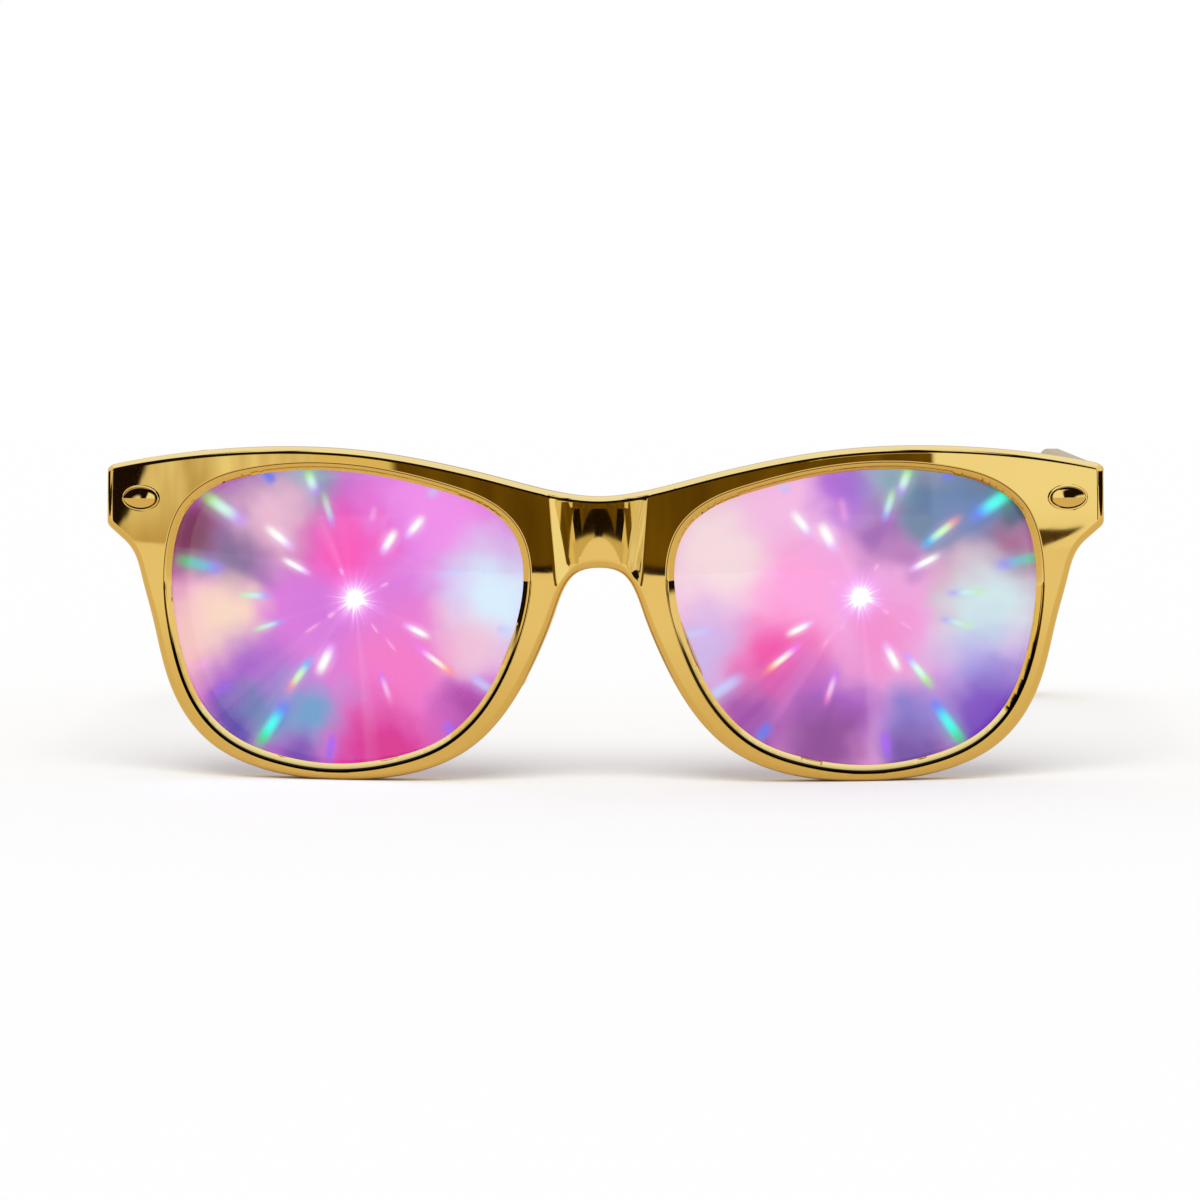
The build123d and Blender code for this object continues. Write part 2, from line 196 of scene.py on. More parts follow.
def cut(piece, tool, how="DIFFERENCE"):
    """Cuts a piece with another solid, or joins the two, and keeps the result in the mesh."""
    step = piece.modifiers.new("cut", "BOOLEAN")
    step.operation = how
    step.solver = "EXACT"
    step.object = tool
    bpy.context.view_layer.update()
    keep_result(piece)
    piece.data.set_sharp_from_angle(angle=SHARP)
    bpy.data.objects.remove(tool)


def everything(bm):
    """All of a mesh's geometry, for an operator that wants a list."""
    return bm.verts[:] + bm.edges[:] + bm.faces[:]


def with_edges(faces):
    """Faces with their edges and vertices."""
    return faces + list({e for f in faces for e in f.edges}) + list({v for f in faces for v in f.verts})


def new_verts(made):
    """The vertices among the things that an operator made."""
    return [g for g in made["geom"] if isinstance(g, bmesh.types.BMVert)]


def thicken(bm, way):
    """Pushes a flat mesh out along a vector, to a solid."""
    grown = bmesh.ops.extrude_face_region(bm, geom=bm.faces[:])
    bmesh.ops.translate(bm, vec=way, verts=new_verts(grown))


def slice_across(bm, way, places):
    """Divides a mesh's faces at places along an axis."""
    for place in places:
        bmesh.ops.bisect_plane(bm, geom=everything(bm), plane_co=Vector(way) * place, plane_no=way)


def box(limits, side):
    """A box with limits along the axes, on the right where side is 1 and on the left where it is -1."""
    bm = bmesh.new()
    bmesh.ops.create_cube(bm, size=1)
    for v in bm.verts:
        v.co = Vector([limits[axis][1] if v.co[axis] > 0 else limits[axis][0] for axis in range(3)])
        v.co.x *= side
    bmesh.ops.recalc_face_normals(bm, faces=bm.faces)
    return bm


BEVEL_WIDTH = 0.95
EDGE_RADIUS = 1.1
CREST_WIDTH = 0.36
FOOT_WIDTH = 0.12
BACK_RADIUS = 0.7
BACK_CHAMFER = 0.15
GROOVE_FRONT = 1.22
GROOVE_BACK = 3.2
LENS_LIP = 0.9
MIDDLE_X = 38.0
bm = bmesh.new()
ring_in = [bm.verts.new((x, 0, z)) for x, z in opening]
ring_out = [bm.verts.new((x, 0, z)) for x, z in outline]


def crossings(line):
    """Where a closed line crosses the middle of the opening, at the top and at the foot."""
    near = sorted(range(len(line)), key=lambda i: abs(line[i][0] - MIDDLE_X))
    middle_z = sum(z for x, z in line) / len(line)
    top = next(i for i in near if line[i][1] > middle_z)
    return top, next(i for i in near if line[i][1] < middle_z)


def part_of(ring, start, end, step):
    """The stretch of a closed ring from start to end, both included."""
    n = len(ring)
    return [ring[(start + step * k) % n] for k in range((end - start) * step % n + 1)]


top_out, foot_out = crossings(outline)
top_in, foot_in = crossings(opening)
way = 1 if opening[(top_in + 5) % len(opening)][0] > MIDDLE_X else -1
bm.faces.new(part_of(ring_out, top_out, foot_out, 1) + part_of(ring_in, foot_in, top_in, -way))
bm.faces.new(part_of(ring_out, foot_out, top_out, 1) + part_of(ring_in, top_in, foot_in, -way))
bmesh.ops.recalc_face_normals(bm, faces=bm.faces)
thicken(bm, (0, FRONT_THICKNESS, 0))
bmesh.ops.recalc_face_normals(bm, faces=bm.faces)
RIM_MIDDLE = 1.2


def beside_opening(place):
    """True where a place in the flat front lies by the opening, and not by the outline."""
    return min(hypot(place.x - x, place.z - z) for x, z in opening) < RIM_MIDDLE


def ring_edges(bm, depth, inside):
    """The closed ring of edges at a depth, along the opening or along the outline."""
    found = []
    for e in bm.edges:
        flat = [abs(f.normal.y) > 0.9 for f in e.link_faces]
        if flat.count(True) == 1 and all(abs(v.co.y - depth) < 1e-5 for v in e.verts):
            wall = e.link_faces[flat.index(False)]
            if beside_opening(wall.calc_center_median()) == inside:
                found.append(e)
    return found


def bevel(bm, edges, width, segments):
    """Rounds or chamfers edges."""
    return bmesh.ops.bevel(bm, geom=edges, offset=width, offset_type="OFFSET", segments=segments,
                           profile=0.5, affect="EDGES", clamp_overlap=False, material=-1)


bevel(bm, ring_edges(bm, 0, True), BEVEL_WIDTH, 1)
for depth, width, steps in ((0, CREST_WIDTH, 6), (BEVEL_WIDTH, FOOT_WIDTH, 3)):
    crests = [e for e in bm.edges if any(0.5 < abs(f.normal.y) < 0.9 for f in e.link_faces)
              and all(abs(v.co.y - depth) < 1e-5 for v in e.verts)]
    bevel(bm, crests, width, steps)

# A fine dark line of painted shade follows the crest. It widens over the rims' lower half,
# from the first of these heights to the second, and fades towards its last row.
CREASE_DEPTHS = (0.001, 0.26)
CREASE_HEIGHTS = (24, 18)
CREASE_FADE = 0.45
crease = bm.verts.layers.float.new("crease")
rows = sorted({round(v.co.y, 3) for v in bm.verts if CREASE_DEPTHS[0] < v.co.y < CREASE_DEPTHS[1]})
for v in bm.verts:
    row = round(v.co.y, 3)
    if row == rows[1]:
        v[crease] = 1
    elif row in rows[2:6]:
        low = min(max((CREASE_HEIGHTS[0] - v.co.z) / (CREASE_HEIGHTS[0] - CREASE_HEIGHTS[1]), 0), 1)
        v[crease] = low * (CREASE_FADE if row == rows[5] else 1)
bevel(bm, ring_edges(bm, 0, False), EDGE_RADIUS, 9)
bevel(bm, ring_edges(bm, FRONT_THICKNESS, False), BACK_RADIUS, 6)
bevel(bm, ring_edges(bm, FRONT_THICKNESS, True), BACK_CHAMFER, 2)
slice_across(bm, (0, 1, 0), (GROOVE_FRONT, GROOVE_BACK))
band = []
for f in bm.faces:
    middle = f.calc_center_median()
    if abs(f.normal.y) < 0.1 and GROOVE_FRONT < middle.y < GROOVE_BACK and beside_opening(middle):
        band.append(f)
grown = bmesh.ops.extrude_face_region(bm, geom=band + list({e for f in band for e in f.edges}))
bm.normal_update()
for v in new_verts(grown):
    inwards = sum((f.normal for f in v.link_faces if abs(f.normal.y) < 0.1), Vector())
    v.co -= Vector((inwards.x, 0, inwards.z)).normalized() * LENS_LIP

# The scoop across the bridge is round in plan, narrower at its foot, faces a little downwards,
# and meets the front in a softened crease. A section is its height, half its width and its depth.
SCOOP_SECTIONS = (
    (RIM_SHARES[-1][1] * HEIGHT - 4, 6.23, 1.28),
    (BROW_SHARES[0][1] * HEIGHT + 4, 7.97, 1.10),
)
SCOOP_END = 11.0
SCOOP_FADE = (26.0, 31.5)
CREASE_RADIUS = 1.5


def scoop_line(half_width, depth):
    """The plan of the scoop's right half, from the middle to beyond its crease."""
    radius = (half_width ** 2 + depth ** 2) / (2 * depth)
    centre_y = FRONT_Y + depth - radius
    xs = np.linspace(half_width - 1, half_width, 2001)
    gaps = [abs(wrap_depth(x) - centre_y - sqrt(radius ** 2 - x ** 2)) for x in xs]
    x = xs[int(np.argmin(gaps))]
    crease = Vector((x, wrap_depth(x)))
    into = Vector((-(crease.y - centre_y), x)).normalized()
    away = asin(x / WRAP_RADIUS)
    beyond = crease + Vector((cos(away), sin(away)))
    shoulder = rounded_corner(crease + into, crease, beyond, CREASE_RADIUS, 11)
    sweep = np.linspace(0, asin(shoulder[0][0] / radius), 25)[:-1]
    line = [(radius * sin(a), centre_y + radius * cos(a)) for a in sweep] + shoulder
    line += [(x, wrap_depth(x)) for x in np.linspace(shoulder[-1][0], SCOOP_END, 6)[1:]]
    return np.array(line)


(foot_z, foot_width, foot_depth), (top_z, top_width, top_depth) = SCOOP_SECTIONS
foot_line, top_line = scoop_line(foot_width, foot_depth), scoop_line(top_width, top_depth)


def scoop_depth(x, z):
    """How much deeper than the front's wall the scoop lies at a place."""
    line = foot_line + (top_line - foot_line) * (z - foot_z) / (top_z - foot_z)
    fade = min(max((z - SCOOP_FADE[0]) / (SCOOP_FADE[1] - SCOOP_FADE[0]), 0), 1)
    if abs(x) >= SCOOP_END or fade == 0:
        return 0.0
    depth = max(float(np.interp(abs(x), line[:, 0], line[:, 1])) - wrap_depth(x), 0)
    return depth * fade ** 2 * (3 - 2 * fade)


# Upright cuts let the flat faces follow the curve of the front. Over the scoop they follow its lines.
slice_across(bm, (1, 0, 0), np.arange(SCOOP_END, HALF_WIDTH))
bmesh.ops.bisect_plane(bm, geom=everything(bm), plane_co=(0, 0, 0), plane_no=(-1, 0, 0), clear_outer=True)
for (foot_x, _), (top_x, _) in zip(foot_line[1:-1], top_line[1:-1]):
    bmesh.ops.bisect_plane(bm, geom=everything(bm), plane_co=(foot_x, 0, foot_z),
                           plane_no=(top_z - foot_z, 0, foot_x - top_x))
for z in np.arange(SCOOP_FADE[0], HEIGHT):
    faces = [f for f in bm.faces if f.calc_center_median().x < SCOOP_END]
    bmesh.ops.bisect_plane(bm, geom=with_edges(faces), plane_co=(0, 0, z), plane_no=(0, 0, 1))
flat_back = FRONT_THICKNESS - BACK_RADIUS
for v in bm.verts:
    share = min(max((flat_back - v.co.y) / (flat_back - EDGE_RADIUS), 0), 1)
    v.co.y = wrap_depth(v.co.x, v.co.y) + scoop_depth(v.co.x, v.co.z) * share
    v.co.z = max(v.co.z, 0)
bmesh.ops.mirror(bm, geom=everything(bm), axis="X", merge_dist=1e-4)
bmesh.ops.recalc_face_normals(bm, faces=bm.faces)
front = finish_mesh(bm, "gold_front")

# Behind each end piece stands the block that the arm closes against.
END_TOP = BROW_SHARES[-1][1] * HEIGHT
BLOCK_X = (64.1, 74.0)
BLOCK_Y = FRONT_Y + 16.403
BLOCK_Z = (end_foot[1] + 0.6, END_TOP - 0.3)
BLOCK_EDGE = 0.35
for side in (1, -1):
    bm = bmesh.new()
    bmesh.ops.create_cube(bm, size=1)
    for v in bm.verts:
        v.co.x = side * (BLOCK_X[1] if v.co.x > 0 else BLOCK_X[0])
        v.co.z = BLOCK_Z[1] if v.co.z > 0 else BLOCK_Z[0]
        v.co.y = BLOCK_Y if v.co.y > 0 else wrap_depth(v.co.x, FRONT_THICKNESS / 2)
    bmesh.ops.recalc_face_normals(bm, faces=bm.faces)
    lengthwise = [e for e in bm.edges if abs((e.verts[0].co - e.verts[1].co).normalized().y) > 0.9]
    bevel(bm, lengthwise, BLOCK_EDGE, 4)
    cut(front, finish_mesh(bm, "block"), "UNION")

# The nose pads are leaning oval bosses that flare outwards and narrow towards the face.
PAD_CENTRE = (11.1, 19.6)
PAD_SIZE = (13.0, 4.2)
PAD_DEPTH = 4.4
PAD_FLARE = 1.5
PAD_TIP_SHARE = 0.7
PAD_LEAN = radians(22)
PAD_EDGE = 0.8
pad_root = wrap_depth(PAD_CENTRE[0], FRONT_THICKNESS / 2)
pad_rise = wrap_depth(PAD_CENTRE[0], FRONT_THICKNESS) + PAD_DEPTH - pad_root
for side in (1, -1):
    bm = bmesh.new()
    half_length, end_radius = (PAD_SIZE[0] - PAD_SIZE[1]) / 2, PAD_SIZE[1] / 2
    rim = [(half_length + end_radius * sin(a), end_radius * cos(a)) for a in np.linspace(0, pi, 25)]
    rim += [(-x, -z) for x, z in rim]
    bm.faces.new([bm.verts.new((x, 0, z)) for x, z in rim])
    lean = Matrix.Rotation(-(pi / 2 + PAD_LEAN), 3, "Y")
    bmesh.ops.rotate(bm, verts=bm.verts, cent=(0, 0, 0), matrix=lean)
    thicken(bm, (0, pad_rise, 0))
    slice_across(bm, (0, 1, 0), pad_rise * np.linspace(0, 1, 9)[1:-1])
    for v in bm.verts:
        share = v.co.y / pad_rise
        size = 1 - (1 - PAD_TIP_SHARE) * share ** 2
        v.co.x = PAD_CENTRE[0] + PAD_FLARE * share + v.co.x * size
        v.co.z = PAD_CENTRE[1] + v.co.z * size
        v.co.y += pad_root
    bmesh.ops.recalc_face_normals(bm, faces=bm.faces)
    tip_edges = [e for e in bm.edges if all(v.co.y > pad_root + pad_rise - 1e-4 for v in e.verts)]
    bevel(bm, tip_edges, PAD_EDGE, 6)
    for v in bm.verts:
        v.co.x *= side
    bmesh.ops.recalc_face_normals(bm, faces=bm.faces)
    cut(front, finish_mesh(bm, "pad"), "UNION")

# The oval rivets sit in shallow seats, square to the curved face.
SEAT_CENTRE = (68.5, 41.27)
SEAT_SIZE = (3.12, 1.97)
SEAT_DEPTH = 0.5


def onto_face(bm, side):
    """Turns a mesh that faces up to face out of the front, and brings it to its seat's place."""
    turn_out = asin(SEAT_CENTRE[0] / WRAP_RADIUS)
    for turn in (Matrix.Rotation(pi / 2, 3, "X"), Matrix.Rotation(turn_out * side, 3, "Z")):
        bmesh.ops.rotate(bm, verts=bm.verts, cent=(0, 0, 0), matrix=turn)
    place = (side * SEAT_CENTRE[0], wrap_depth(SEAT_CENTRE[0]), SEAT_CENTRE[1])
    bmesh.ops.translate(bm, vec=place, verts=bm.verts)


for side in (1, -1):
    bm = bmesh.new()
    bmesh.ops.create_cone(bm, cap_ends=True, segments=96, radius1=1, radius2=1, depth=3)
    bmesh.ops.scale(bm, vec=(SEAT_SIZE[0], SEAT_SIZE[1], 1), verts=bm.verts)
    bmesh.ops.translate(bm, vec=(0, 0, 1.5 - SEAT_DEPTH), verts=bm.verts)
    onto_face(bm, side)
    cut(front, finish_mesh(bm, "seat"))

# Each end block has a shallow pocket for the hinge leaf.
POCKET = ((64.4, 69.0), (BLOCK_Y - 0.5, BLOCK_Y + 1), (38.525, 45.125))
for side in (1, -1):
    cut(front, finish_mesh(box(POCKET, side), "pocket"))


def even_shading(piece):
    """Keeps the shine of broad faces flat right up to the rounded edges beside them."""
    step = piece.modifiers.new("even_shading", "WEIGHTED_NORMAL")
    step.keep_sharp = True
    step.weight = 50


even_shading(front)
keep_result(front)

# The face is part of a true cylinder, so its shine follows the cylinder exactly. Behind a small
# depth the painted shade line has no place, and what the cuts left of it there is cleared.
CREASE_LIMIT = 0.5
axis = AXIS_Y / 1000
radials = [Vector((v.co.x, v.co.y - axis, 0)) for v in front.data.vertices]
on_face = [abs(r.length - WRAP_RADIUS / 1000) < 1e-6 for r in radials]
normals = [tuple(n.vector) for n in front.data.corner_normals]
face_vertices = set()
for polygon in front.data.polygons:
    facing = polygon.normal.dot(radials[polygon.vertices[0]].normalized())
    if facing > 0.9998 and all(on_face[v] for v in polygon.vertices):
        face_vertices.update(polygon.vertices)
for polygon in front.data.polygons:
    for corner, v in zip(polygon.loop_indices, polygon.vertices):
        if v in face_vertices and polygon.normal.dot(radials[v].normalized()) > 0.97:
            normals[corner] = radials[v].normalized()
front.data.normals_split_custom_set(normals)
for radial, mark in zip(radials, front.data.attributes["crease"].data):
    if radial.length < (WRAP_RADIUS - CREASE_LIMIT) / 1000:
        mark.value = 0

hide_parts("front_frame")
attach(front, "front")


def plain_node(tree, kind, inputs=(), **settings):
    """A shader node with its settings and inputs; a socket is linked and a value is set."""
    node = tree.nodes.new(kind)
    for key, value in settings.items():
        setattr(node, key, value)
    for key, value in inputs:
        if isinstance(value, bpy.types.NodeSocket):
            tree.links.new(value, node.inputs[key])
        else:
            node.inputs[key].default_value = value
    return node


def sums(tree, operation, *values):
    """A math node's result."""
    return plain_node(tree, "ShaderNodeMath", list(enumerate(values)), operation=operation).outputs[0]


def both(tree, *shares):
    """The product of shares, which is 1 where all of them are."""
    product = shares[0]
    for share in shares[1:]:
        product = sums(tree, "MULTIPLY", product, share)
    return product


def coordinates(tree):
    """The piece's own X, Y and Z."""
    own = tree.nodes.new("ShaderNodeTexCoord").outputs["Object"]
    return plain_node(tree, "ShaderNodeSeparateXYZ", [(0, own)]).outputs


def mixed(tree, share, a, b):
    """Colour a going over to colour b by a share."""
    node = plain_node(tree, "ShaderNodeMix", [(0, share), (6, a), (7, b)], data_type="RGBA")
    return node.outputs[2]


def rise(tree, value, low, high):
    """A smooth step from 0 at low to 1 at high."""
    inputs = [("Value", value), ("From Min", low), ("From Max", high)]
    return plain_node(tree, "ShaderNodeMapRange", inputs, interpolation_type="SMOOTHSTEP").outputs[0]


def window(tree, value, low, high, soft):
    """1 between low and high, fading to 0 over soft beyond each."""
    return both(tree, rise(tree, value, low - soft, low), rise(tree, value, high + soft, high))


def noise(tree, scale, detail=2.0, vector=None):
    """An even random pattern on the piece's own coordinates."""
    if vector is None:
        vector = tree.nodes.new("ShaderNodeTexCoord").outputs["Object"]
    inputs = [("Vector", vector), ("Scale", scale), ("Detail", detail)]
    return plain_node(tree, "ShaderNodeTexNoise", inputs).outputs[0]


def between(tree, value, low, high):
    """A pattern brought to the range from low to high."""
    inputs = [("Value", value), ("To Min", low), ("To Max", high)]
    return plain_node(tree, "ShaderNodeMapRange", inputs).outputs[0]


def uneven(tree, shader, strength, distance, height):
    """Gives a surface a bump from a pattern."""
    inputs = [("Strength", strength), ("Distance", distance), ("Height", height)]
    tree.links.new(plain_node(tree, "ShaderNodeBump", inputs).outputs[0], shader.inputs["Normal"])


def new_material(name):
    """A node material, its tree and its shader."""
    material = bpy.data.materials.new(name)
    material.use_nodes = True
    return material, material.node_tree, material.node_tree.nodes["Principled BSDF"]


# The metallised skin is a mirror, a little uneven from the moulding, with faint handling marks.
GOLD = (0.84, 0.55, 0.15, 1)
GOLD_WARM = (0.81, 0.51, 0.125, 1)
GOLD_PAINTED_SHADE = (0.03, 0.017, 0.003, 1)
gold, tree, shader = new_material("mirror_gold")
look = mixed(tree, noise(tree, 60), GOLD, GOLD_WARM)
# Where the crease attribute is set, the gold darkens to painted shade: a fine line along the crests and the
# floor of the rivets' grooves.
line = plain_node(tree, "ShaderNodeAttribute", attribute_name="crease").outputs["Fac"]
tree.links.new(mixed(tree, rise(tree, line, 0.1, 0.9), look, GOLD_PAINTED_SHADE), shader.inputs["Base Color"])
shader.inputs["Metallic"].default_value = 1
tree.links.new(between(tree, noise(tree, 350, 6), 0.005, 0.03), shader.inputs["Roughness"])
uneven(tree, shader, 1.0, 0.000012, noise(tree, 75, 1))
front.data.materials.append(gold)

# Lenses
# Each lens is a sheet of clear moulded plastic, curved like the front. It carries the film, and
# is snapped into the groove round its rim.
LENS_SPREAD = 0.82
LENS_INSET = 1.3
LENS_THICKNESS = 1.6
LENS_EDGE = 0.1
SLICES_FROM = 10


def spread(line, distance):
    """A closed line moved outwards by a distance."""
    p = np.array(line)
    along = np.roll(p, -1, axis=0) - np.roll(p, 1, axis=0)
    out = np.stack([along[:, 1], -along[:, 0]], axis=1) / np.hypot(*along.T)[:, None]
    out *= np.sign(np.sum(out * (p - p.mean(axis=0))))
    return [tuple(q) for q in p + out * distance]


def curved_sheet(name, side, inset, thickness, edge):
    """A sheet with the outline of the opening, bent to the curve of the front."""
    bm = bmesh.new()
    bm.faces.new([bm.verts.new((x, 0, z)) for x, z in spread(opening, LENS_SPREAD)])
    thicken(bm, (0, thickness, 0))
    bmesh.ops.recalc_face_normals(bm, faces=bm.faces)
    bevel(bm, [e for e in bm.edges if abs(e.verts[0].co.y - e.verts[1].co.y) < 1e-6], edge, 2)
    slice_across(bm, (1, 0, 0), np.arange(SLICES_FROM, HALF_WIDTH))
    for v in bm.verts:
        v.co.y = wrap_depth(v.co.x, inset + v.co.y)
        v.co.x *= side
    bmesh.ops.recalc_face_normals(bm, faces=bm.faces)
    sheet = finish_mesh(bm, name, radians(30))
    even_shading(sheet)
    return sheet


clear, tree, shader = new_material("clear_plastic")
shader.inputs["Base Color"].default_value = (1, 1, 1, 1)
shader.inputs["Transmission Weight"].default_value = 1
shader.inputs["IOR"].default_value = 1.49
shader.inputs["Specular IOR Level"].default_value = 0.15
tree.links.new(between(tree, noise(tree, 90, 4), 0.0, 0.005), shader.inputs["Roughness"])
for name, side in (("left", -1), ("right", 1)):
    lens = curved_sheet(name + "_clear_lens", side, LENS_INSET, LENS_THICKNESS, LENS_EDGE)
    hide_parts(name + "_lens")
    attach(lens, "front")
    lens.data.materials.append(clear)

# Diffraction films
# A thin embossed film is laminated on the back of each lens. It spreads each point of light
# into a white star with rainbow glints round it, over a soft wash of colours, here painted light that glows.
FILM_INSET = 2.92
FILM_THICKNESS = 0.2
FILM_EDGE = 0.02
STIR = 9


def shade(red, green, blue):
    """A colour for the shader, given as the eye sees it, with each part from 11 to 255."""
    return tuple(((c / 255 + 0.055) / 1.055) ** 2.4 for c in (red, green, blue)) + (1,)


def vectors(tree, operation, *values, result=0):
    """A vector math node's result."""
    node = plain_node(tree, "ShaderNodeVectorMath", list(enumerate(values)), operation=operation)
    return node.outputs[result]


PALE = shade(252, 250, 246), shade(255, 255, 255), shade(240, 190, 255)
MINT = shade(170, 235, 120), shade(215, 255, 240), shade(205, 160, 255)
RAINBOW = shade(240, 150, 165), shade(205, 250, 195), shade(95, 190, 255)
SEA = shade(60, 215, 120), shade(90, 250, 240), shade(110, 140, 255)
GRASS = shade(85, 205, 120), shade(110, 190, 200), shade(150, 145, 255)
SOFT = shade(190, 235, 175), shade(200, 240, 235), shade(170, 160, 250)
EMBER = shade(255, 150, 130), shade(255, 250, 235), shade(240, 130, 250)
ROSE = shade(255, 150, 215), shade(240, 205, 245), shade(215, 115, 250)
VIOLET = shade(150, 110, 225), shade(175, 110, 250), shade(175, 110, 245)
BLUE = shade(105, 140, 240), shade(110, 125, 240), shade(120, 120, 225)
SKY = shade(195, 215, 250), shade(200, 205, 250), shade(205, 190, 250)
BLUSH = shade(255, 185, 225), shade(255, 180, 235), shade(250, 170, 240)

# The star as (x, z), the wash as (x, z, reach, colour), and the glints as (x, z, length, width,
# strength, tints).
LEFT_STAR = (-36.5, 26.5)
LEFT_GROUND = shade(215, 120, 215)
LEFT_WASH = [
    (-48, 42, 15, (145, 105, 160)), (-44, 45, 8, (140, 160, 185)), (-49, 38, 9, (230, 182, 206)),
    (-62, 36, 11, (122, 52, 92)), (-55, 32, 8, (125, 100, 145)), (-61, 21, 14, (245, 200, 200)),
    (-56, 24, 8, (245, 215, 195)), (-24, 40, 15, (240, 150, 235)), (-38, 34, 10, (245, 95, 190)),
    (-15, 27, 14, (215, 235, 250)), (-20, 20, 9, (235, 195, 215)), (-30, 16, 14, (240, 125, 200)),
    (-52, 14, 11, (165, 100, 200)), (-55, 6, 8, (85, 70, 170)), (-51, 9, 6, (90, 115, 175)),
    (-44, 10, 9, (115, 160, 205)), (-45, 3, 6, (125, 85, 180)), (-32, 4, 12, (215, 50, 145)),
    (-19, 9, 8, (170, 65, 165)), (-42, 26, 8, (210, 115, 215)),
]
LEFT_GLINTS = [
    (-56.5, 39.7, 8.6, 2.2, 0.85, MINT), (-47.8, 35.4, 5.4, 1.4, 1, PALE),
    (-45.3, 31.2, 4.8, 1, 1, PALE), (-60.3, 31.3, 7.6, 2.1, 0.9, GRASS),
    (-51.8, 26.8, 5.2, 1, 0.85, SOFT), (-42.9, 43.7, 4.2, 1.7, 0.8, MINT),
    (-40.4, 39.6, 5.4, 1.2, 0.6, SOFT), (-49.5, 44.7, 3, 1.9, 0.9, BLUE),
    (-38.4, 30.5, 1.2, 0.5, 0.8, BLUSH), (-40, 24.1, 1.4, 0.55, 0.9, BLUSH),
    (-49.6, 22.4, 5.2, 0.9, 0.8, SOFT), (-43, 22.1, 2.8, 0.45, 0.6, BLUSH),
    (-41, 17.5, 5, 1.6, 1, PALE), (-45, 15.1, 6.4, 1.3, 0.95, RAINBOW),
    (-49.3, 7.7, 8.4, 2, 1, SEA), (-40.3, 4.3, 4.6, 1.4, 0.8, VIOLET),
    (-60.5, 16.2, 3.6, 1.4, 0.4, BLUSH), (-57.1, 12.8, 5, 2, 0.35, VIOLET),
    (-31.3, 34.9, 4.2, 1.4, 1, PALE), (-27.4, 37.1, 4.2, 1.3, 1, PALE),
    (-24.6, 42.4, 2.4, 1.4, 0.5, SKY), (-33.6, 39, 2.4, 1, 0.4, BLUSH),
    (-22, 30.3, 4.8, 0.9, 0.5, SKY), (-32, 28.6, 1.5, 0.45, 0.7, BLUSH),
    (-27.2, 21.9, 4.2, 1, 1, PALE), (-24.4, 17.5, 7.4, 1, 0.9, EMBER),
    (-31.9, 13.5, 5.4, 1, 0.7, ROSE), (-33.5, 22.2, 1.8, 0.4, 0.7, BLUSH),
    (-31.1, 19.8, 2.6, 0.45, 0.5, BLUSH), (-17.6, 14.2, 4, 1.6, 0.7, SKY),
    (-14.2, 22.1, 2.4, 1.4, 0.6, SKY), (-22.3, 7.4, 2.6, 1.4, 0.8, VIOLET),
]
RIGHT_STAR = (38.0, 26.9)
RIGHT_GROUND = shade(235, 165, 220)
RIGHT_WASH = [
    (18, 34, 16, (245, 220, 225)), (28, 41, 10, (245, 190, 230)), (28, 27, 12, (252, 165, 220)),
    (15, 19, 10, (205, 180, 230)), (26, 16, 12, (240, 90, 170)), (22, 8, 10, (150, 55, 160)),
    (34, 10, 12, (165, 90, 190)), (33, 5, 9, (135, 65, 145)), (37, 43, 9, (170, 105, 215)),
    (45, 42, 11, (145, 175, 190)), (53, 40, 13, (65, 110, 140)), (60, 41, 9, (45, 80, 105)),
    (41, 36, 7, (160, 100, 178)), (60, 32, 9, (155, 85, 130)), (52, 38, 9, (100, 125, 172)),
    (47, 37, 6, (105, 128, 160)), (44, 32, 5, (180, 120, 185)), (53, 28, 9, (205, 165, 185)),
    (57, 24, 12, (205, 228, 230)), (56, 16, 10, (175, 165, 230)), (57, 9, 12, (120, 75, 190)),
    (46, 9, 9, (140, 125, 205)), (46, 3, 8, (115, 80, 165)), (41, 21, 8, (240, 145, 205)),
]
RIGHT_GLINTS = [
    (29.6, 37.5, 5, 1.4, 1, PALE), (33.3, 35.6, 4.9, 1.7, 1, PALE),
    (25, 30.7, 4, 1.1, 0.45, BLUSH), (26.8, 43.1, 2.6, 1.5, 0.6, SKY),
    (35.5, 39.6, 3.8, 1.3, 0.35, BLUSH), (34.1, 29, 1.8, 0.45, 0.6, BLUSH),
    (42.1, 40.2, 5.2, 1.3, 0.85, SOFT), (44.4, 43.8, 5, 1.6, 0.85, MINT),
    (57.6, 40.5, 8.4, 2.3, 1, SEA), (49.8, 36.3, 7.2, 1.4, 1, RAINBOW),
    (47.3, 31.8, 5, 1.1, 1, PALE), (61.3, 31.9, 7.4, 1.9, 0.8, GRASS),
    (53.5, 27.4, 5.8, 1.1, 0.8, SOFT), (40.3, 31.2, 1.3, 0.5, 0.8, BLUSH),
    (41.7, 24.7, 1.2, 0.5, 0.8, BLUSH), (50.9, 44.8, 2.6, 1.4, 0.7, BLUE),
    (29.3, 22.4, 4.4, 1, 1, PALE), (26.6, 17.9, 7, 1.1, 0.95, EMBER),
    (18.1, 13.7, 6.6, 2, 0.9, SKY), (33.8, 13.8, 5.4, 1, 0.85, ROSE),
    (35.5, 22.8, 1.8, 0.45, 0.6, BLUSH), (33.1, 20.4, 2.4, 0.45, 0.4, BLUSH),
    (24, 7.3, 3.2, 1.6, 0.9, BLUE), (14.4, 21.8, 4.4, 1.4, 0.5, SKY),
    (42.6, 18.1, 4.7, 1.3, 1, PALE), (46.5, 16.1, 6.6, 1.3, 1, MINT),
    (50.9, 8.3, 8.6, 1.9, 1, SEA), (41.8, 5, 4.8, 1.5, 0.8, VIOLET),
    (52.1, 23, 5.2, 1, 0.7, SOFT), (44.6, 22.7, 2.4, 0.45, 0.5, BLUSH),
]

